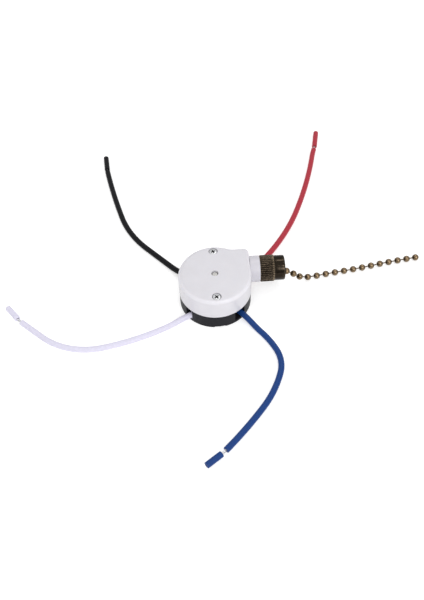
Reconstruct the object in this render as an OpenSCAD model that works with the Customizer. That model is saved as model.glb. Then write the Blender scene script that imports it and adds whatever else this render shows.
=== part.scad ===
// Four-wire pull-chain rotary switch: a round two-part housing with a threaded spout on one
// side, a ball chain that turns an indexing rotor inside, and four lead wires with push-in clamps.
// Origin: centre of the base's bottom face. +Z up, +X along the spout and the pull of the chain.

/* [Housing] */
// Diameter of the round part of the cover
cover_d = 34; // [33:0.5:36]
// Height of the cover's top face above the bottom of the base
housing_h = 19.05; // [19:0.05:20]
// Height of the seam between base and cover
seam_z = 7.85; // [7.7:0.05:8]
// Rounding of the cover's top edge
top_round = 2.25; // [1.5:0.25:2.25]
// Distance from the centre to the flat side that carries the spout
block_x = 16.75; // [16.5:0.05:16.8]
// Distance from the centre to the flat rear side of the spout block
block_y = 14.95; // [14.8:0.05:15.1]
// Radius of the hollow corner between the round wall and the spout block
blend_r = 8; // [6:0.5:9]
// Wall thickness of base and cover
wall_t = 1.5; // [1.2:0.1:1.6]
// How far the base wall is set back from the cover wall
base_inset = 0.1; // [0.05:0.05:0.2]
// Distance of each cover screw from the centre
screw_y = 13.4; // [13.2:0.1:13.5]

/* [Spout and nut] */
// Sideways position of the spout axis, which is also the winding radius of the chain
spout_y = 7.6; // [7.5:0.05:7.7]
// Height of the spout axis
spout_z = 11.25; // [11.2:0.05:11.3]
// Radius of the smooth part of the spout and of the knurl on the nut
spout_r = 6.3; // [6.2:0.05:6.4]
// Length of smooth spout that shows beside the block
spout_show = 4.7; // [4.5:0.05:5]
// Length of the knurled part of the nut
knurl_l = 6.9; // [6.7:0.1:7.1]
// Length of the smooth nose of the nut
nose_l = 4.9; // [4.7:0.1:5]
// Number of straight knurl flutes
knurl_n = 40; // [32:2:48]
// Depth of the knurl flutes
knurl_h = 0.35; // [0.2:0.05:0.4]

/* [Chain] */
// Diameter of one bead
bead_d = 3.2; // [3.1:0.1:3.2]
// Distance between neighbouring bead centres
pitch = 4.65; // [4.6:0.05:4.7]
// Number of beads past the mouth of the nut
outer_beads = 16; // [16:1:16]
// Steepest fall of the slack chain, in degrees
droop = 45.3; // [43:0.1:47]
// Direction that the lying chain settles to, in degrees from +X
drift = 9.2; // [8:0.1:11]

/* [Wires] */
// Outer radius of the insulation
wire_r = 1.4; // [1.2:0.05:1.4]
// Radius of the bare conductor
core_r = 0.58; // [0.4:0.02:0.6]
// Height of the wires where they leave the base
wire_z = 2.8; // [2.75:0.05:2.85]

/* [Hidden] */
$fn = 64;

cover_r = cover_d / 2;
floor_t = 1.6;             // thickness of the base floor
roof_t = 1.8;              // thickness of the cover roof
gap = 0.05;                // assembly gap between touching parts
run_gap = 0.05;            // radial clearance of running fits
lip_h = 1.5;               // locating lip of the base inside the cover
groove_h = 0.45;           // shadow groove round the top of the base: height and depth
groove_d = 0.45;
screw_r = 1.08;
screw_head_r = 1.95;
screw_seat_z = housing_h - 1.5;
counterbore_r = 2.15;
pin_r = 1.5;
pin_hole_r = 1.65;
pin_top = housing_h - 0.75;
pin_foot = 0.8;            // bottom of the blind hole that holds the pin
boss_h = 4.2;              // boss round the pin's foot

block_wall_x = block_x - wall_t;      // inner face of the wall that holds the spout
groove_r = 5.15;                      // spout radius inside that wall
flange_r = 5.9;
flange_flat = 5.05;                   // half the width across the flange flats
thread_r = 4.9;
thread_pitch = 0.94;
bore_r = 2.1;                         // passage for the chain
nut_x = block_x + spout_show;         // where the nut starts
nose_x = nut_x + knurl_l;
mouth_x = nose_x + nose_l;            // outer face of the nut
nose_r = spout_r - knurl_h;
mouth_flare = 1.7;                    // radius of the bell mouth

bead_r = bead_d / 2;
bead_wall = 0.22;
bead_hole_r = 0.42;
link_r = 0.28;
link_head_r = 0.47;
pivot_r = bead_r - bead_wall / 2;     // pivot point in a bead's hole, from the bead centre
head_inset = 0.85;                    // link head centre, from the pivot
first_bead_x = mouth_x - 3.1;         // the last straight bead, just inside the mouth
droop_at = 2.62;                      // link at which the fall is steepest
droop_over = 1.62;                    // links over which the fall fades
lean = 23.9;                          // how far the first link leans on the side of the mouth

drum_core_r = spout_y - bead_r - 0.1;
drum_flange_r = 9.3;
drum_z0 = spout_z - bead_r - 0.75;
drum_z1 = spout_z + bead_r + 0.75;
drum_flange_t = 0.6;
rotor_z0 = 5.3;
rotor_z1 = 7.4;
wound = 3;                            // beads wound on the drum

bore_clear = 0.08;         // between a conductor and its insulation
hair = 0.02;               // hairline between the bends of a wire
tie_l = 0.4;               // length of the tie across a hairline

// Wires: [colour, clamp angle, heading, bends, gap length, kink angle, slug length, lead length,
// extra width of the wall notch]. The lead is the straight stretch from the clamp through the
// base wall. A bend is [radius, angle] to the left, and a straight stretch is [length, 0].
clamp_at = 12;                        // distance of each wire's clamp end from the centre
drop_r = 25;                          // bend radius of the drop to the table
drop_a = acos(1 - (wire_z - wire_r) / 2 / drop_r);
black = ["#232327", 140, 133, [[17, 0], [57, -26.5], [390, -5.5]], 1.3, -5, 10.5, 6, 0];
red = ["#b8323f", 24, 48.5, [[125, 17.5], [270, 9.5], [51, -6.7]], 2.4, 8.5, 12.5, 10.5, 0];
white = ["#e4e0f2", 229, 204.5, [[120, -14.4], [34, -51], [14, 0]], 2.8, -10.5, 8.8, 6, 0.8];
blue = ["#1f4a94", 317.5, 308, [[44, -14.5], [17, -43.1], [54, -20.1], [200, -7.2]], 2.3, -8, 8, 6, 3];

// ---------- outlines ----------

// Round body, cut flat on the side of the spout, with the block that carries the spout. The inset
// shrinks it evenly.
module keyhole(inset) {
    r = cover_r - inset;
    x = block_x - inset;
    y = block_y - inset;
    round_r = blend_r + inset;
    bx = sqrt(pow(r + round_r, 2) - pow(y + round_r, 2));
    intersection() {
        circle(r = r);
        translate([-r, -r]) square([r + x, 2 * r]);
    }
    translate([bx, 0]) block_plan(x - bx, y, top_round - inset);
    translate([bx - 2, 1]) square([4, y - 2]);
    difference() {
        polygon([[0, 0], [bx, 0], [bx, y], [bx, y + round_r]]);
        translate([bx, y + round_r]) circle(r = round_r);
    }
}

// Rectangle from the origin with one rounded corner.
module block_plan(x, y, r) {
    square([x, y - r]);
    square([x - r, y]);
    translate([x - r, y - r]) circle(r = r);
}

// The cover's solid outer form, with its top edge rounded all the way round.
module cover_form() {
    edge_z = housing_h - top_round;
    x = block_x - top_round;
    y = block_y - top_round;
    bx = sqrt(pow(cover_r + blend_r, 2) - pow(block_y + blend_r, 2));
    // round body, cut flat beside the block
    intersection() {
        rotate_extrude() {
            square_from(0, seam_z, cover_r, edge_z);
            square_from(0, seam_z, cover_r - top_round, housing_h);
            translate([cover_r - top_round, edge_z]) quarter_disc(top_round);
        }
        translate([-cover_r, -cover_r, 0]) cube([cover_r + block_x, cover_d, housing_h]);
    }
    // block: two sides with a rounded top edge, and a rounded corner between them
    translate([0, y, seam_z]) rotate([90, 0, 0]) linear_extrude(y)
        block_plan(block_x, housing_h - seam_z, top_round);
    translate([bx, 0, seam_z]) rotate([90, 0, 90]) linear_extrude(x - bx)
        block_plan(block_y, housing_h - seam_z, top_round);
    translate([x, y, 0]) rotate_extrude(angle = 90) {
        square_from(0, seam_z, top_round, edge_z);
        translate([0, edge_z]) quarter_disc(top_round);
    }
    // hollow corner between the round body and the block
    difference() {
        translate([0, 0, seam_z]) linear_extrude(housing_h - seam_z)
            polygon([[0, 0], [bx, 0], [bx, block_y], [bx, block_y + blend_r]]);
        translate([bx, block_y + blend_r, 0]) rotate_extrude() {
            square_from(0, seam_z - 1, blend_r, housing_h + 1);
            difference() {
                square_from(blend_r - 0.01, edge_z, blend_r + top_round, housing_h + 1);
                translate([blend_r + top_round, edge_z]) circle(r = top_round);
            }
        }
    }
}

module square_from(x0, y0, x1, y1) {
    translate([x0, y0]) square([x1 - x0, y1 - y0]);
}

module quarter_disc(r) {
    intersection() {
        circle(r = r);
        square([r, r]);
    }
}

// ---------- housing ----------

module spout_axis() {
    translate([0, spout_y, spout_z]) rotate([0, 90, 0]) children();
}

module housing_hollow(z0, z1, inset) {
    translate([0, 0, z0]) cylinder(r = cover_r - wall_t - inset, h = z1 - z0);
    translate([0, spout_y - flange_flat - 0.1, z0])
        cube([block_wall_x, 2 * flange_flat + 0.2, z1 - z0]);
}

module screw_posts(z0, z1, r) {
    for (side = [-1, 1]) translate([0, side * screw_y, z0]) cylinder(r = r, h = z1 - z0);
}

module base() {
    top = seam_z - gap;
    color("#2f3034") difference() {
        union() {
            difference() {
                union() {
                    linear_extrude(top - groove_h) keyhole(base_inset);
                    linear_extrude(top) keyhole(base_inset + groove_d);
                }
                housing_hollow(floor_t, top + 1, base_inset);
            }
            base_lip(top);
            intersection() {
                screw_posts(floor_t - 0.1, top, 2.6);
                cylinder(r = cover_r - base_inset - 0.5, h = top);
            }
            cylinder(r = 2.6, h = boss_h);
            for (w = [black, red, white, blue]) at_clamp(w) clamp_pocket();
        }
        // pin, screws and spout
        translate([0, 0, pin_foot]) cylinder(r = pin_r, h = 8);
        screw_posts(2.2, top + 2, screw_r + 0.02);
        translate([block_wall_x - 1, 0, 0]) spout_axis() cylinder(r = groove_r + gap, h = 9);
        // a notch in the wall for each wire
        for (w = [black, red, white, blue]) at_clamp(w) wire_notch(w[8]);
        // prising recess in the bottom rim
        translate([-1.4, -cover_r, -0.5]) cube([5, 1.6, 1]);
    }
}

// Lip that centres the cover; left out beside the spout block.
module base_lip(z) {
    r = cover_r - wall_t - 0.1;
    difference() {
        translate([0, 0, z - 1]) cylinder(r = r, h = lip_h + 1);
        translate([0, 0, z - 2]) cylinder(r = r - 0.9, h = lip_h + 3);
        translate([0, 0, z - 2]) cube([cover_r, cover_r, lip_h + 3]);
        screw_posts(z + gap, z + lip_h + 1, 3.2);
    }
}

// Two ribs that hold a clamp, one on each side of the wire.
module clamp_pocket() {
    for (side = [-1, 1]) translate([-2.2, side * 2 - 0.4, floor_t - 0.1])
        cube([3.4, 0.8, 4.4]);
}

// Open-topped notch through the wall, widened by the given amount on one side of the wire.
module wire_notch(side_w) {
    notch_r = wire_r + 0.1;
    notch_l = 12;
    translate([0, 0, wire_z]) rotate([0, 90, 0]) cylinder(r = notch_r, h = notch_l);
    translate([0, -notch_r, wire_z]) cube([notch_l, 2 * notch_r, seam_z]);
    translate([2.5, -notch_r - side_w, wire_z - notch_r])
        cube([notch_l - 2.5, notch_r + side_w, seam_z]);
}

module cover() {
    roof_z = housing_h - roof_t;
    color("#e3e2e8") difference() {
        union() {
            difference() {
                cover_form();
                housing_hollow(seam_z - 1, roof_z, 0);
            }
            intersection() {
                screw_posts(seam_z, roof_z + 0.1, 2.9);
                translate([0, 0, seam_z]) cylinder(r = cover_r - 1, h = 20);
            }
        }
        translate([0, 0, roof_z - 1]) cylinder(r = pin_hole_r, h = 4);
        screw_posts(seam_z - 1, housing_h, screw_r + 0.15);
        screw_posts(screw_seat_z, housing_h + 1, counterbore_r);
        translate([block_wall_x - 1, 0, 0]) spout_axis() cylinder(r = groove_r + gap, h = 9);
    }
}

module cover_screws() {
    head_h = 1.3;
    color("#b9bbbf") for (side = [-1, 1]) translate([0, side * screw_y, 0]) {
        translate([0, 0, 2.4]) cylinder(r = screw_r, h = screw_seat_z - 2.4);
        difference() {
            translate([0, 0, screw_seat_z]) rotate_extrude() {
                square_from(0, 0, screw_head_r, head_h - 0.6);
                square_from(0, 0, screw_head_r - 0.6, head_h);
                translate([screw_head_r - 0.6, head_h - 0.6]) quarter_disc(0.6);
            }
            for (turn = [20, 110]) translate([0, 0, screw_seat_z + head_h]) rotate(turn)
                cube([2.3, 0.55, 1.6], center = true);
        }
    }
}

// Pressed into the base boss; its shoulder stands on the boss and carries the rotor.
module centre_pin() {
    chamfer = 0.4;
    color("#8f857a") {
        translate([0, 0, pin_foot]) cylinder(r = pin_r, h = pin_top - pin_foot - chamfer);
        translate([0, 0, boss_h]) cylinder(r = 2.4, h = rotor_z0 - boss_h - 0.1);
        translate([0, 0, pin_top - chamfer]) cylinder(r1 = pin_r, r2 = pin_r - chamfer, h = chamfer);
    }
}

// ---------- spout and nut ----------

module chain_spout() {
    thread_n = 8;
    end_x = mouth_x - 2.5;
    color("#dfdee6") difference() {
        union() {
            intersection() {
                translate([block_wall_x - 1.55, 0, 0]) spout_axis() cylinder(r = flange_r, h = 1.5);
                translate([0, spout_y - flange_flat, 0]) cube([20, 2 * flange_flat, 20]);
            }
            translate([block_wall_x - 0.1, 0, 0]) spout_axis() cylinder(r = groove_r, h = 3);
            translate([block_x + gap, 0, 0]) spout_axis() cylinder(r = spout_r, h = spout_show - gap);
            translate([nut_x - 0.1, 0, 0]) spout_axis() cylinder(r = thread_r - 0.45, h = end_x - nut_x);
            // moulding line along the top
            translate([block_x + gap, spout_y - 0.11, spout_z])
                cube([spout_show - 0.3, 0.22, spout_r + 0.06]);
            for (i = [0 : thread_n - 1]) translate([nut_x + i * thread_pitch, 0, 0]) spout_axis()
                rotate_extrude() polygon([[0, 0], [thread_r - 0.45, 0], [thread_r, thread_pitch / 2],
                    [thread_r - 0.45, thread_pitch], [0, thread_pitch]]);
        }
        spout_axis() cylinder(r = bore_r, h = mouth_x);
    }
}

module knurled_nut() {
    bore_end = mouth_x - 2.4;
    step = 360 / knurl_n;
    flute = [for (i = [0 : knurl_n - 1]) for (p = [[0.22, 1], [0.5, 0], [0.78, 1]])
        (nose_r - 0.05 + (knurl_h + 0.05) * p[1]) * [cos(step * (i + p[0])), sin(step * (i + p[0]))]];
    color("#463e34") spout_axis() difference() {
        union() {
            translate([0, 0, nut_x + gap]) linear_extrude(knurl_l - gap) polygon(flute);
            rotate_extrude() {
                square_from(0, nose_x - 1, nose_r, mouth_x - 0.6);
                square_from(0, nose_x - 1, nose_r - 0.6, mouth_x);
                translate([nose_r - 0.6, mouth_x - 0.6]) quarter_disc(0.6);
            }
        }
        translate([0, 0, nut_x - 1]) cylinder(r = thread_r + run_gap, h = bore_end - nut_x + 1);
        translate([0, 0, nut_x]) cylinder(r = bore_r, h = 20);
        // bell mouth that lets the chain hang to any side
        rotate_extrude() difference() {
            square_from(0, mouth_x - mouth_flare, bore_r + mouth_flare, mouth_x + 1);
            translate([bore_r + mouth_flare, mouth_x - mouth_flare]) circle(r = mouth_flare);
        }
    }
}

// ---------- chain ----------

function link_fall(k) = -droop * exp(-pow((k - droop_at) / droop_over, 2));
function link_heading(k) = drift * (1 - exp(-pow(k / 0.8, 2))) + 1.5 * sin(360 * (k - 2.5) / 7.3)
    - lean * exp(-pow((k - 1) / 0.6, 2));
function link_dir(k) = [
    cos(link_fall(k)) * cos(link_heading(k)),
    cos(link_fall(k)) * sin(link_heading(k)),
    sin(link_fall(k))
];
function bead_at(k) = k <= 0
    ? [first_bead_x + k * pitch, spout_y, spout_z]
    : bead_at(k - 1) + pitch * link_dir(k);

module aim(dir) {
    rotate([0, acos(dir[2]), atan2(dir[1], dir[0])]) children();
}

// Hollow bead at the origin with a hole towards each of its links. The two spheres lie on their
// sides, so that neither hole falls on a pole or on the seam.
module bead(holes) {
    difference() {
        aim(holes[0]) rotate([90, 0, 0]) difference() {
            sphere(r = bead_r);
            sphere(r = bead_r - bead_wall);
        }
        for (dir = holes) aim(dir) cylinder(r = bead_hole_r, h = 2 * bead_r);
    }
}

// Dumbbell link from the origin bead to the bead one pitch along +Z.
module link(length = pitch) {
    head = pivot_r - head_inset;
    translate([0, 0, head]) cylinder(r = link_r, h = length - 2 * head);
    translate([0, 0, head]) sphere(r = link_head_r);
    translate([0, 0, length - head]) sphere(r = link_head_r);
}

// Bead k with the link that ties it to the bead before.
module chain_bead(k) {
    holes = k < outer_beads ? [-link_dir(k), link_dir(k + 1)] : [-link_dir(k)];
    color("#8a7448") {
        translate(bead_at(k)) bead(holes);
        translate(bead_at(k - 1)) aim(link_dir(k)) link();
    }
}

// The straight run from the drum through the spout, and the first bead past the mouth.
straight_beads = floor(first_bead_x / pitch);
module straight_chain() {
    color("#8a7448") for (k = [-straight_beads : 1]) {
        ahead = k < 0 ? [1, 0, 0] : link_dir(k + 1);
        behind = k < 1 ? [-1, 0, 0] : -link_dir(1);
        translate(bead_at(k)) bead([ahead, behind]);
        if (k > -straight_beads) translate(bead_at(k - 1)) aim(k < 1 ? [1, 0, 0] : link_dir(1)) link();
    }
}

// Angles of the wound beads: the chain keeps its pitch along the winding circle.
last_straight_x = first_bead_x - straight_beads * pitch;
function wound_angle(i) = 90 + ((i + 1) * pitch - last_straight_x) / spout_y * 180 / PI;
function wound_at(i) = spout_y * [cos(wound_angle(i)), sin(wound_angle(i)), 0];
function unit(v) = v / norm(v);

module drum_chain() {
    color("#8a7448") translate([0, 0, spout_z]) for (i = [0 : wound - 1]) {
        ahead = i > 0 ? unit(wound_at(i - 1) - wound_at(i)) : [1, 0, 0];
        behind = unit(wound_at(min(i + 1, wound - 1)) - wound_at(i - (i < wound - 1 ? 0 : 1)));
        translate(wound_at(i)) bead(i < wound - 1 ? [ahead, behind] : [ahead]);
        if (i < wound - 1) translate(wound_at(i)) aim(behind)
            link(norm(wound_at(i + 1) - wound_at(i)));
    }
}

// ---------- mechanism ----------

module chain_drum() {
    hub_top = housing_h - roof_t - 0.4;
    anchor = wound_angle(wound - 1);
    color("#c9c2a8") difference() {
        union() {
            translate([0, 0, drum_z0]) cylinder(r = drum_core_r, h = drum_z1 - drum_z0);
            translate([0, 0, drum_z0]) cylinder(r = drum_flange_r, h = drum_flange_t);
            translate([0, 0, drum_z1 - drum_flange_t]) cylinder(r = drum_flange_r, h = drum_flange_t);
            translate([0, 0, drum_z1 - 0.1]) cylinder(r = 2.8, h = hub_top - drum_z1 + 0.1);
            // socket for the last bead
            rotate(anchor) translate([4, -2.3, drum_z0]) cube([4.9, 4.6, drum_z1 - drum_z0]);
            // drive dogs
            for (i = [0 : 3]) rotate(90 * i + 45) sector(3, 6.4, 28, drum_z0 - 1.2, drum_z0 + 0.1);
        }
        translate([0, 0, drum_z0 - 2]) cylinder(r = pin_r + run_gap, h = 12);
        translate([0, 0, spout_z]) rotate(anchor) translate([spout_y, 0, 0]) {
            sphere(r = bead_r + bore_clear);
            rotate([90, 0, 0]) cylinder(r = link_head_r + 0.15, h = 5);
            rotate([0, 90, 0]) cylinder(r = bead_r + bore_clear, h = 3);
            rotate([90, 0, -18]) cylinder(r = 0.8, h = 5);
        }
    }
}

// A block between two radii and of the given angle, centred on +X.
module sector(r0, r1, angle, z0, z1) {
    rotate(-angle / 2) translate([0, 0, z0]) rotate_extrude(angle = angle)
        square_from(r0, 0, r1, z1 - z0);
}

module rotor() {
    color("#3f6f8f") difference() {
        union() {
            translate([0, 0, rotor_z0]) cylinder(r = 8.4, h = rotor_z1 - rotor_z0);
            for (i = [0 : 3]) rotate(90 * i) sector(3, 6.4, 40, rotor_z1 - 0.1, rotor_z1 + 1);
        }
        translate([0, 0, rotor_z0 - 1]) cylinder(r = pin_r + run_gap, h = 6);
    }
}

module contact_plate() {
    color("#c79a4a") translate([0, 0, rotor_z0 - 0.4]) linear_extrude(0.4) difference() {
        union() {
            circle(r = 4.6);
            for (i = [0 : 2]) rotate(80 * i + 40) translate([0, -1.3]) square([8, 2.6]);
        }
        circle(r = 2.7);
    }
}

// Coil between the drum and the roof, round the drum's hub.
module return_spring() {
    coil_r = 3.6;
    turns = 4;
    coil_wire_r = 0.25;
    sides = 8;
    steps = turns * 20;
    rise = 2.6;
    z0 = drum_z1 + 0.35;
    points = [for (i = [0 : steps]) for (j = [0 : sides - 1]) let (
            a = 360 * turns * i / steps,
            b = 360 * j / sides,
            r = coil_r + coil_wire_r * cos(b)
        ) [r * cos(a), r * sin(a), z0 + rise * i / steps + coil_wire_r * sin(b)]];
    tube = [for (i = [0 : steps - 1]) for (j = [0 : sides - 1]) let (n = (j + 1) % sides)
        [i * sides + j, i * sides + n, (i + 1) * sides + n, (i + 1) * sides + j]];
    first = [for (j = [sides - 1 : -1 : 0]) j];
    last = [for (j = [0 : sides - 1]) steps * sides + j];
    color("#a7a9ad") polyhedron(points, concat(tube, [first, last]));
}

// ---------- wires and clamps ----------

module at_clamp(w) {
    rotate(w[1]) translate([clamp_at, 0, 0]) rotate(w[2] - w[1]) children();
}

// Contact strip: lies on the floor and rises to a finger under the contact plate.
module terminal(w) {
    color("#d0a650") at_clamp(w) translate([0, 1.4, 0]) rotate([90, 0, 0]) linear_extrude(2.8)
        polygon([[-6, 1.65], [-0.15, 1.65], [-0.15, 2.15], [-5.4, 2.15], [-4.3, 4.4], [-4.3, 4.85],
            [-4.9, 4.85], [-6, 2.6]]);
}

// Steel spring held between the ribs; its blade presses the conductor down on the strip.
module clamp(w) {
    color("#b4b7bc") at_clamp(w) translate([0, 1.55, 0]) rotate([90, 0, 0]) linear_extrude(3.1)
        polygon([[-2.1, 5.6], [-2.1, 5.3], [-0.1, 5.3], [-1.75, 3.46], [-1.45, 3.43], [0.25, 5.3],
            [0.25, 5.6]]);
}

// Sweeps a 2D profile along a list of [radius, angle, roll] bends, heading along +X.
// An angle of zero makes a straight stretch of that length. Roll 90 turns a bend upwards.
// The first child is the profile. The second, a hair smaller, ties each bend to the next.
module sweep(bends, i = 0) {
    if (i < len(bends)) {
        size = bends[i][0];
        angle = bends[i][1];
        roll = bends[i][2];
        if (i > 0) translate([-tie_l / 2, 0, 0]) rotate([0, 90, 0]) linear_extrude(tie_l) children(1);
        if (angle == 0) {
            translate([hair / 2, 0, 0]) rotate([0, 90, 0]) linear_extrude(size - hair) children(0);
        } else {
            hair_angle = hair / size * 180 / PI;
            rotate([roll, 0, 0]) mirror([0, angle < 0 ? 1 : 0, 0]) translate([0, size, 0])
                rotate(hair_angle / 2 - 90) rotate_extrude(angle = abs(angle) - hair_angle)
                translate([size, 0]) children(0);
        }
        past(bends[i]) sweep(bends, i + 1) {
            children(0);
            children(1);
        }
    }
}

// Moves to the end of one bend.
module past(bend) {
    size = bend[0];
    angle = bend[1];
    roll = bend[2];
    if (angle == 0) {
        translate([size, 0, 0]) children();
    } else {
        rotate([roll, 0, 0])
            translate([size * sin(abs(angle)), sign(angle) * size * (1 - cos(angle)), 0])
            rotate(angle) rotate([-roll, 0, 0]) children();
    }
}

// Moves to the end of a list of bends.
module after(bends, i = 0) {
    if (i < len(bends)) {
        past(bends[i]) after(bends, i + 1) children();
    } else {
        children();
    }
}

function wire_bends(w) = concat(
    [[w[7], 0, 0], [drop_r, -drop_a, 90], [drop_r, drop_a, 90]],
    [for (b = w[3]) [b[0], b[1], 0]]
);
function gap_bends(w) = w[5] == 0
    ? [[w[4], 0, 0]]
    : [[w[4] / abs(w[5]) * 180 / PI, w[5], 0]];

module tube_profile(shrink) {
    difference() {
        circle(r = wire_r - shrink);
        circle(r = core_r + bore_clear + shrink);
    }
}

module wire(w) {
    color(w[0]) at_clamp(w) translate([0, 0, wire_z]) sweep(wire_bends(w)) {
        tube_profile(0);
        tube_profile(hair);
    }
}

module core(w) {
    bare = 3.5;
    tip = 0.4;
    bends = concat([[bare, 0, 0]], wire_bends(w), gap_bends(w), [[w[6] - tip, 0, 0]]);
    color("#c9ccd2") at_clamp(w) translate([-bare, 0, wire_z]) sweep(bends) {
        circle(r = core_r);
        circle(r = core_r - hair);
    }
}

module slug(w) {
    color(w[0]) at_clamp(w) translate([0, 0, wire_z]) after(concat(wire_bends(w), gap_bends(w)))
        rotate([0, 90, 0]) linear_extrude(w[6]) tube_profile(0);
}

// ---------- nodes ----------

base();
cover();
cover_screws();
centre_pin();
chain_spout();
knurled_nut();
chain_drum();
drum_chain();
straight_chain();
return_spring();
rotor();
contact_plate();
terminal(black);  // black_terminal
terminal(red);  // red_terminal
terminal(white);  // white_terminal
terminal(blue);  // blue_terminal
clamp(black);  // black_clamp
clamp(red);  // red_clamp
clamp(white);  // white_clamp
clamp(blue);  // blue_clamp
wire(black);  // black_wire
wire(red);  // red_wire
wire(white);  // white_wire
wire(blue);  // blue_wire
core(black);  // black_core
core(red);  // red_core
core(white);  // white_core
core(blue);  // blue_core
slug(black);  // black_slug
slug(red);  // red_slug
slug(white);  // white_slug
slug(blue);  // blue_slug
chain_bead(2);  // chain_bead_02
chain_bead(3);  // chain_bead_03
chain_bead(4);  // chain_bead_04
chain_bead(5);  // chain_bead_05
chain_bead(6);  // chain_bead_06
chain_bead(7);  // chain_bead_07
chain_bead(8);  // chain_bead_08
chain_bead(9);  // chain_bead_09
chain_bead(10);  // chain_bead_10
chain_bead(11);  // chain_bead_11
chain_bead(12);  // chain_bead_12
chain_bead(13);  // chain_bead_13
chain_bead(14);  // chain_bead_14
chain_bead(15);  // chain_bead_15
chain_bead(16);  // chain_bead_16
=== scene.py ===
"""Pull-chain rotary switch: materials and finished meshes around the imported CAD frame."""
import math

import bpy
import numpy as np
from mathutils import Matrix, Vector


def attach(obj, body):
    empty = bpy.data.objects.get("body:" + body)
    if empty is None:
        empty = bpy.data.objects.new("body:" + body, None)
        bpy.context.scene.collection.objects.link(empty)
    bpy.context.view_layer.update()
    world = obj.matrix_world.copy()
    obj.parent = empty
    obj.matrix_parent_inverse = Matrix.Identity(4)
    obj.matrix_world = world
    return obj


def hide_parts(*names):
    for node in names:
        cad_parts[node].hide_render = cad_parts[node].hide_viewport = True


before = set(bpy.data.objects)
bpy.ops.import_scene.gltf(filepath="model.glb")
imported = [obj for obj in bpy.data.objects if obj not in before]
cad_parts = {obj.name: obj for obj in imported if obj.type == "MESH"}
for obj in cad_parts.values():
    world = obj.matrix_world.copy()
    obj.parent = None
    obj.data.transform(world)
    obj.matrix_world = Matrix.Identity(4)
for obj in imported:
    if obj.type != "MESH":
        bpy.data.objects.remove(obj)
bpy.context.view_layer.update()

MM = 0.001
X_AXIS = Vector((1, 0, 0))
Z_AXIS = Vector((0, 0, 1))

# ---------- sizes, in millimetres, as in the CAD source ----------

SCREW_Y = 13.4
SCREW_SEAT_Z = 17.55
SPOUT_Y = 7.6
SPOUT_Z = 11.25
SPOUT_R = 6.3
NUT_X = 21.45
NOSE_X = 28.35
MOUTH_X = 33.25
NOSE_R = 5.95
KNURL_ROOT_R = NOSE_R - 0.05
NUT_START = NUT_X + 0.05     # the nut stands just clear of the neck
THREAD_BORE_R = 4.95
THREAD_END_X = MOUTH_X - 2.4
BORE_R = 2.1
FLARE = 1.7
FLUTES = 40
BEAD_R = 1.6
BEAD_WALL = 0.22
HOLE_R = 0.42
PITCH = 4.65
LINK_R = 0.28
LINK_HEAD_R = 0.47
LINK_HEAD_AT = 0.64          # centre of a link's head, from its bead's centre
DROOP = 45.3                 # steepest fall of the chain, and the links it spreads over
DROOP_AT = 2.62
DROOP_OVER = 1.62
DRIFT = 9.2                  # heading the lying chain settles to, and its slow weave
DRIFT_OVER = 0.8
WEAVE = 1.5
WEAVE_START = 2.5
WEAVE_LENGTH = 7.3
LEAN = 23.9                  # how far the first link leans on the side of the mouth
LEAN_OVER = 0.6
FIRST_BEAD_X = MOUTH_X - 3.1
OUTER_BEADS = 16
STRAIGHT_BEADS = 6
WOUND_BEADS = 3
WIRE_R = 1.4
CORE_R = 0.58
BORE = 0.66
WIRE_Z = 2.8
CLAMP_AT = 12.0
DROP_R = 25.0

# Wires: clamp angle, heading, bends as (radius, angle), gap, kink at the gap, slug length, lead
# length. A bend of no angle is a straight run as long as its radius.
WIRES = {
    "black": (140, 133, [(17, 0), (57, -26.5), (390, -5.5)], 1.3, -5, 10.5, 6.0),
    "red": (24, 48.5, [(125, 17.5), (270, 9.5), (51, -6.7)], 2.4, 8.5, 12.5, 10.5),
    "white": (229, 204.5, [(120, -14.4), (34, -51), (14, 0)], 2.8, -10.5, 8.8, 6.0),
    "blue": (317.5, 308, [(44, -14.5), (17, -43.1), (54, -20.1), (200, -7.2)], 2.3, -8, 8.0, 6.0),
}


# ---------- materials ----------

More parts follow.
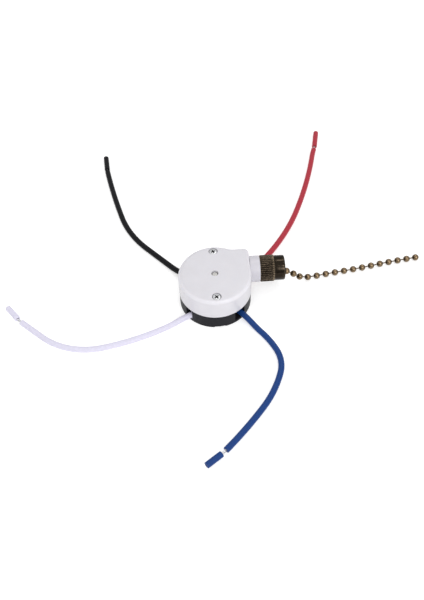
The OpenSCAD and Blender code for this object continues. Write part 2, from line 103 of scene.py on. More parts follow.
class Shader:
    """A Principled material with small helpers for its node tree. Lengths are millimetres."""

    def __init__(self, name, color, rough, metallic=0.0, coat=0.0, subsurface=0.0, gloss=0.5):
        self.mat = bpy.data.materials.new(name)
        self.mat.use_nodes = True
        self.tree = self.mat.node_tree
        self.bsdf = self.tree.nodes["Principled BSDF"]
        self.set("Base Color", (*color, 1.0))
        self.set("Roughness", rough)
        self.set("Metallic", metallic)
        self.set("Specular IOR Level", gloss)
        self.set("Coat Weight", coat)
        self.set("Coat Roughness", 0.2)
        if subsurface:
            self.set("Subsurface Weight", subsurface)
            self.set("Subsurface Radius", (1.0, 0.9, 0.8))
            self.set("Subsurface Scale", 0.6 * MM)
        self.coords = self.node("ShaderNodeTexCoord").outputs["Object"]
        self.normal = None

    def set(self, socket, value):
        self.bsdf.inputs[socket].default_value = value

    def node(self, kind, **values):
        made = self.tree.nodes.new(kind)
        for key, value in values.items():
            setattr(made, key, value)
        return made

    def link(self, out, into):
        self.tree.links.new(out, into)

    def noise(self, size, detail=3.0, stretch=None):
        """Noise whose blobs are about size millimetres across; stretch scales x, y and z."""
        tex = self.node("ShaderNodeTexNoise")
        tex.inputs["Scale"].default_value = 1.0 / (size * MM)
        tex.inputs["Detail"].default_value = detail
        source = self.coords
        if stretch:
            mapping = self.node("ShaderNodeMapping")
            mapping.inputs["Scale"].default_value = stretch
            self.link(self.coords, mapping.inputs["Vector"])
            source = mapping.outputs["Vector"]
        self.link(source, tex.inputs["Vector"])
        return tex.outputs["Fac"]

    def ramp(self, value, stops):
        """Colour ramp; stops are (position, (r, g, b))."""
        made = self.node("ShaderNodeValToRGB")
        while len(made.color_ramp.elements) < len(stops):
            made.color_ramp.elements.new(0.5)
        for element, (at, color) in zip(made.color_ramp.elements, stops):
            element.position = at
            element.color = (*color, 1.0)
        self.link(value, made.inputs["Fac"])
        return made.outputs["Color"]

    def span(self, value, low, high):
        """Maps 0..1 to low..high."""
        made = self.node("ShaderNodeMapRange")
        made.inputs["To Min"].default_value = low
        made.inputs["To Max"].default_value = high
        self.link(value, made.inputs["Value"])
        return made.outputs["Result"]

    def mix(self, factor, a, b):
        made = self.node("ShaderNodeMix", data_type="RGBA")
        self.link(factor, made.inputs["Factor"])
        for socket, value in ((made.inputs[6], a), (made.inputs[7], b)):
            if isinstance(value, tuple):
                socket.default_value = (*value, 1.0)
            else:
                self.link(value, socket)
        return made.outputs[2]

    def attribute(self, name):
        return self.node("ShaderNodeAttribute", attribute_name=name).outputs["Fac"]

    def bump(self, height, depth, strength=1.0):
        """Adds a bump of depth millimetres on top of any bump before it."""
        made = self.node("ShaderNodeBump")
        made.inputs["Strength"].default_value = strength
        made.inputs["Distance"].default_value = depth * MM
        self.link(height, made.inputs["Height"])
        if self.normal is not None:
            self.link(self.normal, made.inputs["Normal"])
        self.normal = made.outputs["Normal"]
        self.link(self.normal, self.bsdf.inputs["Normal"])


def shade(color, factor):
    """The colour made lighter or darker by a factor."""
    return tuple(min(1.0, c * factor) for c in color)


def moulded_plastic(name, color, rough, grain=0.012, subsurface=0.0, coat=0.0, gloss=0.5, edge=0.0):
    """Moulded plastic: fine spark-eroded grain, faint flow mottling and uneven gloss.

    Where the surface is rounded over from side to top, edge adds a painted highlight: it is how much
    lighter the colour is made there.
    """
    grain_size = 0.28
    black, white = (0, 0, 0), (1, 1, 1)
    s = Shader(name, color, rough, subsurface=subsurface, coat=coat, gloss=gloss)
    tone = s.ramp(s.noise(6.0, 4.0), [(0.3, shade(color, 0.975)), (0.7, shade(color, 1.015))])
    # Painted highlight: the colour is made lighter where the normal tilts between upright and level, on
    # the rounded rims.
    if edge:
        split = s.node("ShaderNodeSeparateXYZ")
        s.link(s.node("ShaderNodeNewGeometry").outputs["Normal"], split.inputs["Vector"])
        rounded = s.ramp(split.outputs["Z"], [(0.15, black), (0.5, white), (0.8, white), (0.98, black)])
        tone = s.mix(rounded, tone, shade(color, 1 + edge))
    s.link(tone, s.bsdf.inputs["Base Color"])
    s.link(s.span(s.noise(2.5, 5.0), rough - 0.05, rough + 0.06), s.bsdf.inputs["Roughness"])
    s.bump(s.noise(4.0, 2.0), 0.02, 0.5)
    s.bump(s.noise(grain_size, 2.0), grain)
    return s.mat


def pvc(name, color, gloss=0.22):
    """Extruded wire insulation: smooth, slightly waxy, with faint streaks and handling marks."""
    rough = 0.38
    s = Shader(name, color, rough, subsurface=0.06, gloss=gloss)
    streaks = s.ramp(s.noise(1.2, 4.0), [(0.3, shade(color, 0.96)), (0.72, shade(color, 1.04))])
    s.link(streaks, s.bsdf.inputs["Base Color"])
    s.link(s.span(s.noise(0.9, 5.0), rough - 0.06, rough + 0.08), s.bsdf.inputs["Roughness"])
    s.bump(s.noise(3.0, 3.0), 0.02, 0.3)
    s.bump(s.noise(0.35, 3.0), 0.003, 0.5)
    return s.mat


def rubbed_metal(name, dark, bright, rough):
    """Antiqued metal: dark patina, rubbed bright where the mesh's wear attribute is high."""
    wear_low, wear_high = 0.25, 0.8
    patchiness = 0.9
    middle = patchiness / 2
    s = Shader(name, dark, rough, metallic=1.0)
    patch = s.node("ShaderNodeMath", operation="MULTIPLY_ADD")
    s.link(s.noise(0.5, 6.0), patch.inputs[0])
    patch.inputs[1].default_value = patchiness
    s.link(s.attribute("wear"), patch.inputs[2])
    edge = s.node("ShaderNodeMapRange")
    edge.inputs["From Min"].default_value = wear_low + middle
    edge.inputs["From Max"].default_value = wear_high + middle
    s.link(patch.outputs[0], edge.inputs["Value"])
    tone = s.ramp(s.noise(1.6, 5.0), [(0.3, shade(dark, 0.75)), (0.7, shade(dark, 1.25))])
    s.link(s.mix(edge.outputs["Result"], tone, bright), s.bsdf.inputs["Base Color"])
    s.link(s.span(s.noise(0.7, 5.0), rough - 0.07, rough + 0.09), s.bsdf.inputs["Roughness"])
    s.bump(s.noise(0.25, 4.0), 0.002, 0.8)
    return s.mat


def plated_metal(name, color, rough, size=0.8, painted_recess_shade=None):
    """Plated or drawn metal: faint scratches, uneven polish, and a painted shade where the mesh marks it.
    """
    s = Shader(name, color, rough, metallic=1.0)
    tone = s.ramp(s.noise(size, 5.0), [(0.3, shade(color, 0.85)), (0.7, shade(color, 1.08))])
    # Painted shade: a near-black colour mixed in where the mesh marks deep recesses.
    if painted_recess_shade:
        tone = s.mix(s.attribute("painted_recess_shade"), tone, painted_recess_shade)
    s.link(tone, s.bsdf.inputs["Base Color"])
    s.link(s.span(s.noise(size / 2, 6.0), rough - 0.06, rough + 0.08), s.bsdf.inputs["Roughness"])
    s.bump(s.noise(size / 4, 3.0), 0.004, 0.7)
    return s.mat


MATERIALS = {
    # cover_white carries a painted highlight on its rounded rim (edge=0.15).
    "cover_white": moulded_plastic("cover_white", (0.69, 0.677, 0.718), 0.36, subsurface=0.08,
                                   coat=0.35, edge=0.15),
    "spout_white": moulded_plastic("spout_white", (0.63, 0.615, 0.665), 0.36, subsurface=0.08,
                                   coat=0.1),
    "base_black": moulded_plastic("base_black", (0.0105, 0.0105, 0.0145), 0.42, grain=0.02,
                                  gloss=0.12),
    "drum_plastic": moulded_plastic("drum_plastic", (0.70, 0.68, 0.60), 0.45),
    "rotor_plastic": moulded_plastic("rotor_plastic", (0.16, 0.33, 0.46), 0.45),
    "antique_bronze": rubbed_metal("antique_bronze", (0.028, 0.0215, 0.0155),
                                   (0.24, 0.185, 0.125), 0.18),
    "antique_brass": rubbed_metal("antique_brass", (0.045, 0.031, 0.018), (0.26, 0.185, 0.11), 0.2),
    # screw_steel paints shade into the cross recesses with a near-black colour.
    "screw_steel": plated_metal("screw_steel", (0.66, 0.665, 0.68), 0.36, 0.5,
                                painted_recess_shade=(0.012, 0.012, 0.013)),
    "pin_metal": plated_metal("pin_metal", (0.60, 0.59, 0.57), 0.5),
    "contact_brass": plated_metal("contact_brass", (0.72, 0.52, 0.24), 0.3),
    "spring_steel": plated_metal("spring_steel", (0.55, 0.56, 0.58), 0.28),
    "tinned_copper": plated_metal("tinned_copper", (0.78, 0.78, 0.80), 0.3, 0.4),
    "wire_black": pvc("wire_black", (0.008, 0.008, 0.010), gloss=0.12),
    "wire_red": pvc("wire_red", (0.425, 0.032, 0.052)),
    "wire_white": pvc("wire_white", (0.735, 0.712, 0.85), gloss=0.35),
    "wire_blue": pvc("wire_blue", (0.0075, 0.047, 0.205)),
}


# ---------- mesh building ----------

def mesh_object(name, verts, faces, material, smooth_angle=35.0):
    """A mesh object from millimetre points, smooth except at edges sharper than smooth_angle."""
    data = bpy.data.meshes.new(name)
    data.from_pydata([Vector(v) * MM for v in verts], [], faces)
    data.validate()
    obj = bpy.data.objects.new(name, data)
    bpy.context.scene.collection.objects.link(obj)
    data.materials.append(MATERIALS[material])
    smooth_by_angle(data, smooth_angle)
    return obj


def smooth_by_angle(data, angle):
    """Smooth shading, with edges sharper than the angle kept crisp."""
    data.shade_smooth()
    data.set_sharp_from_angle(angle=math.radians(angle))


def set_layer(obj, name, values):
    """Stores one number for each point, for the material to read."""
    layer = obj.data.attributes.new(name, "FLOAT", "POINT")
    layer.data.foreach_set("value", np.array(values, np.float32))


def direction(heading, rise):
    """Unit vector at a heading from +X and a rise above level, both in radians."""
    level = math.cos(rise)
    return Vector((level * math.cos(heading), level * math.sin(heading), math.sin(rise)))


def grid_faces(rows, cols, close_rows=False):
    """Quads of a rows by cols grid of points that is closed round its columns."""
    faces = []
    for i in range(rows if close_rows else rows - 1):
        for j in range(cols):
            a, b = i * cols + j, i * cols + (j + 1) % cols
            c, d = ((i + 1) % rows) * cols + (j + 1) % cols, ((i + 1) % rows) * cols + j
            faces.append((a, b, c, d))
    return faces


def arc(center, radius, start, end, steps):
    """Points on an arc, angles in degrees."""
    points = []
    for i in range(steps + 1):
        a = math.radians(start + (end - start) * i / steps)
        points.append((center[0] + radius * math.cos(a), center[1] + radius * math.sin(a)))
    return points


def lathe(profile, cols, place):
    """Points of a closed profile of (radius, along) turned round +Z and moved by the matrix."""
    verts = []
    for radius, along in profile:
        for j in range(cols):
            a = 2 * math.pi * j / cols
            verts.append(place @ Vector((radius * math.cos(a), radius * math.sin(a), along)))
    return verts, grid_faces(len(profile), cols, close_rows=True)


def joined(parts):
    """One list of points and faces from several."""
    verts, faces = [], []
    for part_verts, part_faces in parts:
        start = len(verts)
        verts += part_verts
        faces += [tuple(i + start for i in face) for face in part_faces]
    return verts, faces


def sweep(path, ring):
    """Points and quads of a closed ring of (sideways, up) points swept along a path."""
    tangents = []
    for i in range(len(path)):
        ahead, behind = path[min(i + 1, len(path) - 1)], path[max(i - 1, 0)]
        tangents.append((ahead - behind).normalized())
    up = Z_AXIS - tangents[0] * Z_AXIS.dot(tangents[0])
    up.normalize()
    verts = []
    for i, point in enumerate(path):
        if i:
            up = tangents[i - 1].rotation_difference(tangents[i]) @ up
        side = up.cross(tangents[i])
        verts += [point + side * a + up * b for a, b in ring]
    return verts, grid_faces(len(path), len(ring))


# ---------- parts that keep their CAD shape ----------

def dress_cad_node(name, material, bevel=0.0):
    """Gives a CAD node its material and, where its edges are moulded or rubbed, small round edges."""
    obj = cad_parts[name]
    obj.data.materials.clear()
    obj.data.materials.append(MATERIALS[material])
    obj.data.shade_smooth()
    weld = obj.modifiers.new("weld", "WELD")
    weld.merge_threshold = 0.002 * MM
    if bevel:
        edges = obj.modifiers.new("bevel", "BEVEL")
        edges.width = bevel * MM
        edges.segments = 3
        edges.limit_method = "ANGLE"
        edges.angle_limit = math.radians(32)
        edges.use_clamp_overlap = True
        normals = obj.modifiers.new("normals", "WEIGHTED_NORMAL")
        normals.weight = 90


KEPT = [
    ("base", "base_black", 0.12), ("cover", "cover_white", 0.12), ("centre_pin", "pin_metal", 0.1),
    ("chain_spout", "spout_white", 0.08), ("chain_drum", "drum_plastic", 0.1),
    ("rotor", "rotor_plastic", 0.1), ("contact_plate", "contact_brass", 0.05),
    ("return_spring", "spring_steel", 0.0),
]


def dress_kept_nodes():
    """Dresses every CAD node that no finished mesh replaces."""
    for name, material, bevel in KEPT:
        dress_cad_node(name, material, bevel)
    for color in WIRES:
        dress_cad_node(color + "_terminal", "contact_brass", 0.06)
        dress_cad_node(color + "_clamp", "spring_steel", 0.04)


# ---------- spout and nut ----------

def along_spout():
    """Matrix that stands +Z along +X on the spout axis."""
    turn = Z_AXIS.rotation_difference(X_AXIS).to_matrix().to_4x4()
    return Matrix.Translation((0, SPOUT_Y, SPOUT_Z)) @ turn


def knurl_stations():
    """The knurl with both ends chamfered, as (x, crest radius, root radius)."""
    crest, root = SPOUT_R, KNURL_ROOT_R
    chamfer, steps = 0.45, 4
    first_root_step = 0.12
    start_curve, end_curve = 1.6, 1.8
    stations = [(NUT_START, crest - chamfer, root - first_root_step)]
    for i in range(1, steps + 1):
        f = i / steps
        stations.append((NUT_START + chamfer * f, crest - chamfer * (1 - f) ** start_curve, root))
    middle = NOSE_X - NUT_START - 2 * chamfer
    stations += [(NUT_START + chamfer + middle * f, crest, root) for f in (0.1, 0.3, 0.5, 0.7, 0.9)]
    for i in range(steps, -1, -1):
        f = i / steps
        fall = (crest - root) * (1 - f) ** end_curve
        stations.append((NOSE_X - chamfer * f, crest - fall, root))
    return stations


def nose_stations():
    """The smooth nose, its face, the bell mouth and the bore, back to the start of the knurl."""
    edge, root_fillet, face_r = 0.6, 0.4, 4.4
    points = [(NOSE_X + 0.2 * root_fillet, KNURL_ROOT_R), (NOSE_X + 0.55 * root_fillet, NOSE_R - 0.03)]
    straight = MOUTH_X - NOSE_X - edge - root_fillet
    points += [(NOSE_X + root_fillet + straight * f, NOSE_R) for f in (0, 0.33, 0.66, 1)]
    points += [(x, r) for r, x in arc((NOSE_R - edge, MOUTH_X - edge), edge, 10, 90, 8)]
    points += [(MOUTH_X, face_r)]
    points += [(x, r) for r, x in arc((BORE_R + FLARE, MOUTH_X - FLARE), FLARE, 90, 180, 10)]
    points += [(THREAD_END_X, BORE_R), (THREAD_END_X, THREAD_BORE_R), (NUT_START, THREAD_BORE_R)]
    return [(x, r, r) for x, r in points]


def tooth_height(phase):
    """Height of a rounded knurl tooth, 0 to 1, across one flute."""
    peak, slope = 1.35, 3.4
    rise = max(0.0, min(1.0, peak - slope * abs(phase - 0.5)))
    return rise * rise * (3 - 2 * rise)


def nut_wear(x, radius, tooth, on_knurl):
    """How far the patina is rubbed off: most at the ends of the teeth, then the rim of the nose."""
    tooth_ends, teeth, rim, elsewhere = 0.95, 0.4, 0.3, 0.1
    if on_knurl:
        at_end = x > NOSE_X - 0.5 or x < NUT_X + 0.5
        return tooth * (tooth_ends if at_end else teeth)
    at_rim = x > MOUTH_X - 0.7 and radius > 4.6
    return rim if at_rim else elsewhere


def knurled_nut():
    """The nut: straight knurl with chamfered ends, smooth rounded nose and a bell mouth."""
    stations = knurl_stations() + nose_stations()
    per_flute = 10
    cols = FLUTES * per_flute
    place = along_spout()
    verts, wear = [], []
    for x, high, low in stations:
        on_knurl = high > low + 0.02
        for j in range(cols):
            tooth = tooth_height((j % per_flute) / per_flute)
            a = 2 * math.pi * j / cols
            r = low + (high - low) * tooth
            verts.append(place @ Vector((r * math.cos(a), r * math.sin(a), x)))
            wear.append(nut_wear(x, r, tooth, on_knurl))
    faces = grid_faces(len(stations), cols, close_rows=True)
    nut = mesh_object("knurled_nut_finish", verts, faces, "antique_bronze", 50)
    set_layer(nut, "wear", wear)
    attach(nut, "nut")
    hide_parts("knurled_nut")


# ---------- chain ----------

def link_dir(k):
    """Direction of the link from bead k - 1 to bead k; links up to 0 run straight."""
    if k <= 0:
        return X_AXIS.copy()
    fall = -math.radians(DROOP) * math.exp(-((k - DROOP_AT) / DROOP_OVER) ** 2)
    weave = WEAVE * math.sin(2 * math.pi * (k - WEAVE_START) / WEAVE_LENGTH)
    lean = LEAN * math.exp(-((k - 1) / LEAN_OVER) ** 2)
    heading = math.radians(DRIFT * (1 - math.exp(-(k / DRIFT_OVER) ** 2)) + weave - lean)
    return direction(heading, fall)


def bead_at(k):
    """Centre of bead k; beads up to 0 lie on the spout axis."""
    if k <= 0:
        return Vector((FIRST_BEAD_X + k * PITCH, SPOUT_Y, SPOUT_Z))
    return bead_at(k - 1) + link_dir(k) * PITCH


def bead_profile(holes):
    """Closed profile of a hollow bead with a rolled lip at each hole; (radius, along)."""
    lip_wide, lip_out, lip_in = 0.015, 0.05, 0.16
    lip_turn = 6 if holes == 2 else 0
    inner_r = BEAD_R - BEAD_WALL
    hole_angle = 90 - math.degrees(math.asin(HOLE_R / BEAD_R))
    hole_at = BEAD_R * math.sin(math.radians(hole_angle))
    last = hole_angle if holes == 2 else 89.9
    outside = arc((0, 0), BEAD_R, 5 - hole_angle, last - 5 * (holes - 1), 22)
    inside = arc((0, 0), inner_r, last - lip_turn, 6 - hole_angle, 14)
    far_lip = [(HOLE_R + lip_wide, hole_at - lip_out), (HOLE_R, hole_at - lip_in)]
    near_lip = [(HOLE_R, lip_in - hole_at), (HOLE_R + lip_wide, lip_out - hole_at)]
    return outside + (far_lip if holes == 2 else []) + inside + near_lip


def bead(center, arriving, leaving):
    """Bead turned so that its holes face both links, with a fine seam down one side.

    leaving may be None. The sheet between the two holes is turned part of the way only.
    """
    cols, seam_depth, seam_wear = 40, 0.05, 0.4
    hole_share = 0.12            # share of the way from pole to pole that turns with a hole
    verts, faces = lathe(bead_profile(1 if leaving is None else 2), cols, Matrix.Identity(4))
    turn_in = Z_AXIS.rotation_difference(arriving)
    turn_out = Z_AXIS.rotation_difference(leaving or arriving)
    placed, wear = [], []
    for i, v in enumerate(verts):
        on_seam = i % cols == 0
        outer = v.length > BEAD_R - 0.05
        if on_seam and outer:
            v = v * (1 - seam_depth / BEAD_R)
        polar = math.acos(max(-1.0, min(1.0, v.z / max(v.length, 1e-6)))) / math.pi
        share = max(0.0, min(1.0, (polar - hole_share) / (1 - 2 * hole_share)))
        placed.append(turn_out.slerp(turn_in, share) @ v + center)
        rubbed = 0.15 + 0.75 * math.sin(polar * math.pi) ** 2.2 if outer else 0.0
        wear.append(rubbed * (seam_wear if on_seam else 1.0))
    return placed, faces, wear


def link(start, aim, length=PITCH):
    """Dumbbell link from one bead centre towards the next."""
    head, r = LINK_HEAD_AT, LINK_HEAD_R
    shoulder, neck = 0.12, 0.15
    profile = [(0.001, head - r)] + arc((0, head), r, -85, 50, 10)
    profile += [(LINK_R + 0.03, head + r * 0.8 + shoulder), (LINK_R, head + r + neck)]
    profile += [(LINK_R, length / 2)]
    profile += [(radius, length - along) for radius, along in reversed(profile)]
    turn = Z_AXIS.rotation_difference(aim).to_matrix().to_4x4()
    verts, faces = lathe(profile, 20, Matrix.Translation(start) @ turn)
    return verts, faces, [0.55] * len(verts)


def chain_piece(name, parts, body, node):
    """One piece of chain from its beads and links, riding a body in place of a CAD node."""
    verts, faces = joined([(v, f) for v, f, _ in parts])
    piece = mesh_object(name, verts, faces, "antique_brass", 60)
    set_layer(piece, "wear", [w for _, _, wear in parts for w in wear])
    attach(piece, body)
    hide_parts(node)


def straight_chain():
    """The straight run through the spout, with the first bead outside."""
    parts = []
    for k in range(-STRAIGHT_BEADS, 2):
        parts.append(bead(bead_at(k), link_dir(k), link_dir(k + 1)))
        if k > -STRAIGHT_BEADS:
            parts.append(link(bead_at(k - 1), link_dir(k)))
    chain_piece("straight_chain_finish", parts, "chain", "straight_chain")


def outer_chain():
    """The beads that hang outside, each with the link that enters it."""
    for k in range(2, OUTER_BEADS + 1):
        leaving = link_dir(k + 1) if k < OUTER_BEADS else None
        parts = [bead(bead_at(k), link_dir(k), leaving), link(bead_at(k - 1), link_dir(k))]
        chain_piece("chain_bead_%02d_finish" % k, parts, "bead_%02d" % k, "chain_bead_%02d" % k)


def wound_chain():
    """The beads wound on the drum, which turn with it."""
    first_gap = PITCH - (FIRST_BEAD_X - STRAIGHT_BEADS * PITCH)
    places = []
    for i in range(WOUND_BEADS):
        a = math.pi / 2 + (first_gap + i * PITCH) / SPOUT_Y
        places.append(Vector((SPOUT_Y * math.cos(a), SPOUT_Y * math.sin(a), SPOUT_Z)))
    parts = []
    for i, place in enumerate(places):
        leaving = (places[i - 1] - place).normalized() if i else X_AXIS
        arriving = (place - places[i + 1]).normalized() if i < WOUND_BEADS - 1 else leaving
        parts.append(bead(place, arriving, leaving))
        if i < WOUND_BEADS - 1:
            parts.append(link(places[i + 1], arriving, (place - places[i + 1]).length))
    chain_piece("drum_chain_finish", parts, "drum", "drum_chain")


# ---------- wires ----------

class Pen:
    """A point that draws a wire, with its heading from +X and its rise above level in radians."""

    step = 0.8

    def __init__(self, place, heading):
        self.place = place.copy()
        self.heading = heading
        self.rise = 0.0

    def run(self, length, turn=0.0, climb=0.0):
        """Points of an arc of that length, which turns sideways or climbs by the given angle."""
        count = max(2, round(length / self.step))
        points = []
        for _ in range(count):
            self.heading += turn / count / 2
            self.rise += climb / count / 2
            self.place = self.place + direction(self.heading, self.rise) * (length / count)
            self.heading += turn / count / 2
            self.rise += climb / count / 2
            points.append(self.place.copy())
        return points


def wire_path(color):
    """Points along a wire, as three lists: its insulation, the bare gap and the slug."""
    clamp_angle, heading, bends, gap, kink, slug, lead = WIRES[color]
    a = math.radians(clamp_angle)
    start = Vector((CLAMP_AT * math.cos(a), CLAMP_AT * math.sin(a), WIRE_Z))
    pen = Pen(start, math.radians(heading))
    drop = math.acos(1 - (WIRE_Z - WIRE_R) / 2 / DROP_R)
    insulation = [start] + pen.run(lead)
    insulation += pen.run(DROP_R * drop, climb=-drop) + pen.run(DROP_R * drop, climb=drop)
    for radius, angle in bends:
        turn = math.radians(angle)
        insulation += pen.run(radius * abs(turn) if angle else radius, turn)
    bare = [insulation[-1].copy()] + pen.run(gap, math.radians(kink))
    tip = [bare[-1].copy()] + pen.run(slug)
    return insulation, bare, tip


def circle(radius, count):
    """Points of a circle."""
    turn = [2 * math.pi * j / count for j in range(count)]
    return [(radius * math.cos(a), radius * math.sin(a)) for a in turn]


def insulation_tube(name, path, material):
    """Insulation as a tube with cut ends: outside skin, end faces and bore in one closed mesh."""
    sides, end_length, end_size = 28, 0.12, 0.93
    first = path[0] + (path[1] - path[0]).normalized() * end_length
    last = path[-1] + (path[-2] - path[-1]).normalized() * end_length
    stops = [path[0], first] + path[1:-1] + [last, path[-1]]
    rows = len(stops)
    outer, _ = sweep(stops, circle(WIRE_R, sides))
    inner, _ = sweep(stops, circle(BORE, sides))
    for row in (0, rows - 1):
        for i in range(row * sides, (row + 1) * sides):
            outer[i] = stops[row] + (outer[i] - stops[row]) * end_size
    verts = outer + [p for i in range(rows - 1, -1, -1) for p in inner[i * sides:(i + 1) * sides]]
    faces = [tuple(reversed(f)) for f in grid_faces(2 * rows, sides, close_rows=True)]
    return mesh_object(name, verts, faces, material, 40)


def strand_line(dense, sections, strand):
    """Centre line of one strand; strand 6 is the straight one in the middle."""
    lay = 9.0                    # length in which a strand goes once round
    out = 0.0 if strand == 6 else 2 * CORE_R / 3
    line, travelled = [], 0.0
    for i, point in enumerate(dense):
        if i:
            travelled += (point - dense[i - 1]).length
        side, up = sections[i * 3 + 1] - point, sections[i * 3 + 2] - point
        a = 2 * math.pi * (travelled / lay + strand / 6)
        line.append(point + (side * math.cos(a) + up * math.sin(a)) * out)
    return line


def strand_bundle(name, path):
    """Conductor of seven tinned strands: six twisted round a straight one."""
    sides = 7
    dense = []
    for a, b in zip(path, path[1:]):
        if (b - a).length > 1e-6:
            dense += [a.lerp(b, f) for f in (0.0, 0.5)]
    dense.append(path[-1])
    sections, _ = sweep(dense, [(0.0, 0.0), (1.0, 0.0), (0.0, 1.0)])
    parts = []
    for strand in range(7):
        verts, faces = sweep(strand_line(dense, sections, strand), circle(CORE_R / 3, sides))
        last = (len(dense) - 1) * sides
        faces = [tuple(reversed(f)) for f in faces]
        faces += [tuple(range(sides)), tuple(last + j for j in reversed(range(sides)))]
        parts.append((verts, faces))
    verts, faces = joined(parts)
    return mesh_object(name, verts, faces, "tinned_copper", 50)


def wire(color):
    """Insulation, cut slug and conductor of one wire."""
    insulation, bare, tip = wire_path(color)
    tube = insulation_tube(color + "_wire_finish", insulation, "wire_" + color)
    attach(tube, "housing")
    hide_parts(color + "_wire")
    cut = insulation_tube(color + "_slug_finish", tip, "wire_" + color)
    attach(cut, color + "_tip")
    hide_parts(color + "_slug")
    inward = (insulation[0] - insulation[1]).normalized()
    stripped = [insulation[0] + inward * d for d in (3.5, 2.4, 1.2)]
    end = tip[-1] + (tip[-2] - tip[-1]).normalized() * 0.4
    conductor = stripped + insulation + bare[1:] + tip[1:-1] + [end]
    copper = strand_bundle(color + "_core_finish", conductor)
    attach(copper, "housing")
    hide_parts(color + "_core")


# ---------- screws ----------

def cross_depth(x, y):
    """Depth of a cross recess at a point of the screw head: 1 inside it, 0 outside."""
    arm, half = 1.12, 0.30
    side_slope, end_slope = 0.12, 0.35
    depth = 0.0
    for u, v in ((x, y), (y, x)):
        side = min(1.0, max(0.0, (half - abs(v)) / side_slope))
        end = min(1.0, max(0.0, (arm - abs(u)) / end_slope))
        depth = max(depth, side * end)
    return depth


def screw(place):
    """Pan-head screw with a cross recess and a plain shank; also gives the painted shade that darkens the
    recess.
    """
    head_r, head_h, shank_r, foot = 1.95, 1.3, 1.08, 2.4 - SCREW_SEAT_Z
    recess_r, recess_depth, dome, rings, cols = 1.62, 1.0, 0.16, 26, 96
    turn = [2 * math.pi * j / cols for j in range(cols)]
    verts, painted_recess_shade = [], []
    for i in range(1, rings + 1):
        r = recess_r * i / rings
        for a in turn:
            x, y = r * math.cos(a), r * math.sin(a)
            depth = cross_depth(x, y)
            top = head_h - dome * (r / recess_r) ** 2
            verts.append(place @ Vector((x, y, top - recess_depth * depth)))
            # Painted shade, darkest at the bottom of the recess.
            painted_recess_shade.append(min(1.0, 1.5 * depth))
    shoulder = [(1.75, head_h - 0.2), (1.86, head_h - 0.3), (1.93, head_h - 0.46), (head_r, head_h - 0.62)]
    underside = [(head_r, 0.1), (head_r - 0.08, 0.0), (shank_r, 0.0)]
    shank = [(shank_r, foot + 0.2), (shank_r - 0.25, foot)]
    rim = shoulder + underside + shank
    for r, z in rim:
        verts += [place @ Vector((r * math.cos(a), r * math.sin(a), z)) for a in turn]
        painted_recess_shade += [0.0] * cols
    rows = rings + len(rim)
    faces = [tuple(reversed(f)) for f in grid_faces(rows, cols)]
    faces += [tuple(range(cols)), tuple((rows - 1) * cols + j for j in reversed(range(cols)))]
    return verts, faces, painted_recess_shade


def cover_screws():
    """The two cover screws, each left turned as it was driven."""
    made = []
    for side, turn in ((1, 24), (-1, 35)):
        seat = Matrix.Translation((0, side * SCREW_Y, SCREW_SEAT_Z))
        made.append(screw(seat @ Matrix.Rotation(math.radians(turn), 4, "Z")))
    verts, faces = joined([(v, f) for v, f, _ in made])
    screws = mesh_object("cover_screws_finish", verts, faces, "screw_steel", 38)
    # Painted shade for the recesses, read by the screw material.
    set_layer(screws, "painted_recess_shade", [g for _, _, painted_recess_shade in made for g in painted_recess_shade])
    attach(screws, "housing")
    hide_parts("cover_screws")


# ---------- floor, light and camera ----------

def stage():
    """Plain white floor, a little darker where the switch mirrors it than where it is seen."""
    size = 3.0
    corners = [(-size, -size, 0), (size, -size, 0), (size, size, 0), (-size, size, 0)]
    seen, mirrored = (0.75, 0.75, 0.75), (0.68, 0.68, 0.68)
    seen_glow, mirrored_glow = 0.5, 0.36
    data = bpy.data.meshes.new("floor")
    data.from_pydata(corners, [], [(0, 1, 2, 3)])
    floor = bpy.data.objects.new("floor", data)
    bpy.context.scene.collection.objects.link(floor)
    s = Shader("floor_white", seen, 0.9)
    s.set("Emission Color", (1, 1, 1, 1))
    in_mirror = s.node("ShaderNodeLightPath").outputs["Is Glossy Ray"]
    s.link(s.span(in_mirror, seen_glow, mirrored_glow), s.bsdf.inputs["Emission Strength"])
    s.link(s.mix(in_mirror, seen, mirrored), s.bsdf.inputs["Base Color"])
    data.materials.append(s.mat)


def softbox(name, azimuth, elevation, size, radiance):
    """Round softbox aimed at the switch; azimuth is from +X, both angles in degrees."""
    distance = 0.8
    toward = direction(math.radians(azimuth), math.radians(elevation))
    data = bpy.data.lights.new(name, "AREA")
    data.shape = "DISK"
    data.size = size
    data.energy = radiance * math.pi * math.pi * (size / 2) ** 2
    light = bpy.data.objects.new(name, data)
    bpy.context.scene.collection.objects.link(light)
    light.location = toward * distance
    light.rotation_euler = (-toward).to_track_quat("-Z", "Y").to_euler()


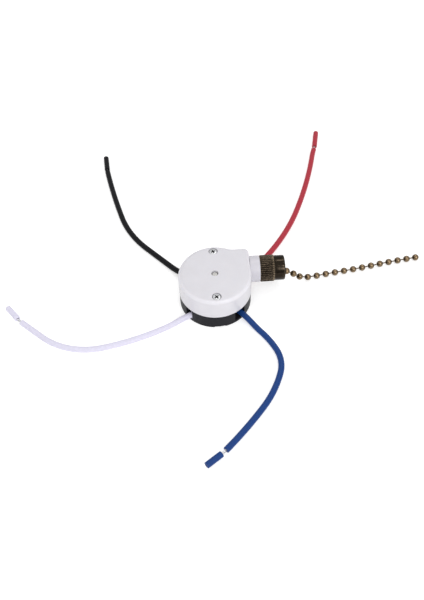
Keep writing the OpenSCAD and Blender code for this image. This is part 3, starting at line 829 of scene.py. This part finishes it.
def white_room():
    """Surroundings: bright overhead, darker towards the horizon."""
    levels = ((0, 0.2), (0.25, 0.58), (0.7, 0.98), (1, 1))
    world = bpy.data.worlds.new("white_room")
    world.use_nodes = True
    tree = world.node_tree
    background = tree.nodes["Background"]
    view_direction = tree.nodes.new("ShaderNodeTexCoord").outputs["Generated"]
    split = tree.nodes.new("ShaderNodeSeparateXYZ")
    tree.links.new(view_direction, split.inputs["Vector"])
    ramp = tree.nodes.new("ShaderNodeValToRGB")
    for at, _ in levels[1:-1]:
        ramp.color_ramp.elements.new(at)
    for element, (_, level) in zip(ramp.color_ramp.elements, levels):
        element.color = (level, level, level, 1)
    tree.links.new(split.outputs["Z"], ramp.inputs["Fac"])
    tree.links.new(ramp.outputs["Color"], background.inputs["Color"])
    background.inputs["Strength"].default_value = 0.93
    bpy.context.scene.world = world


def lights():
    """A white room, a small bright box behind the nut, a wide one in front and two flashes."""
    white_room()
    softbox("overhead", 72, 60, 0.13, 9.0)
    softbox("front", -66, 37, 0.34, 5.0)
    softbox("left_flash", -118, 62, 0.11, 6.0)
    softbox("right_flash", -58, 62, 0.11, 6.0)


def camera():
    """Camera at 53 degrees above the table, a little to the left of the front."""
    elevation, azimuth, roll = math.radians(53.1), math.radians(-1.94), math.radians(-1.87)
    distance, focal_px = 311.0, 660.0
    longest_px, sensor = 600, 36.0
    shift_right, shift_up = -1.52, -5.53
    aim = Vector((0, 0, 7.8))
    toward = direction(azimuth - math.pi / 2, elevation)
    right = direction(azimuth, 0)
    up = toward.cross(right)
    turned_right = right * math.cos(roll) + up * math.sin(roll)
    turned_up = up * math.cos(roll) - right * math.sin(roll)
    place = aim + toward * distance + turned_right * shift_right + turned_up * shift_up
    data = bpy.data.cameras.new("camera")
    data.sensor_width = sensor
    data.lens = focal_px * sensor / longest_px
    data.clip_start = 0.01
    cam = bpy.data.objects.new("camera", data)
    bpy.context.scene.collection.objects.link(cam)
    rotation = Matrix((turned_right, turned_up, toward)).transposed().to_4x4()
    cam.matrix_world = Matrix.Translation(place * MM) @ rotation
    bpy.context.scene.camera = cam


dress_kept_nodes()
knurled_nut()
straight_chain()
outer_chain()
wound_chain()
for wire_color in WIRES:
    wire(wire_color)
cover_screws()
stage()
lights()
camera()
bpy.context.scene.view_settings.view_transform = "Standard"
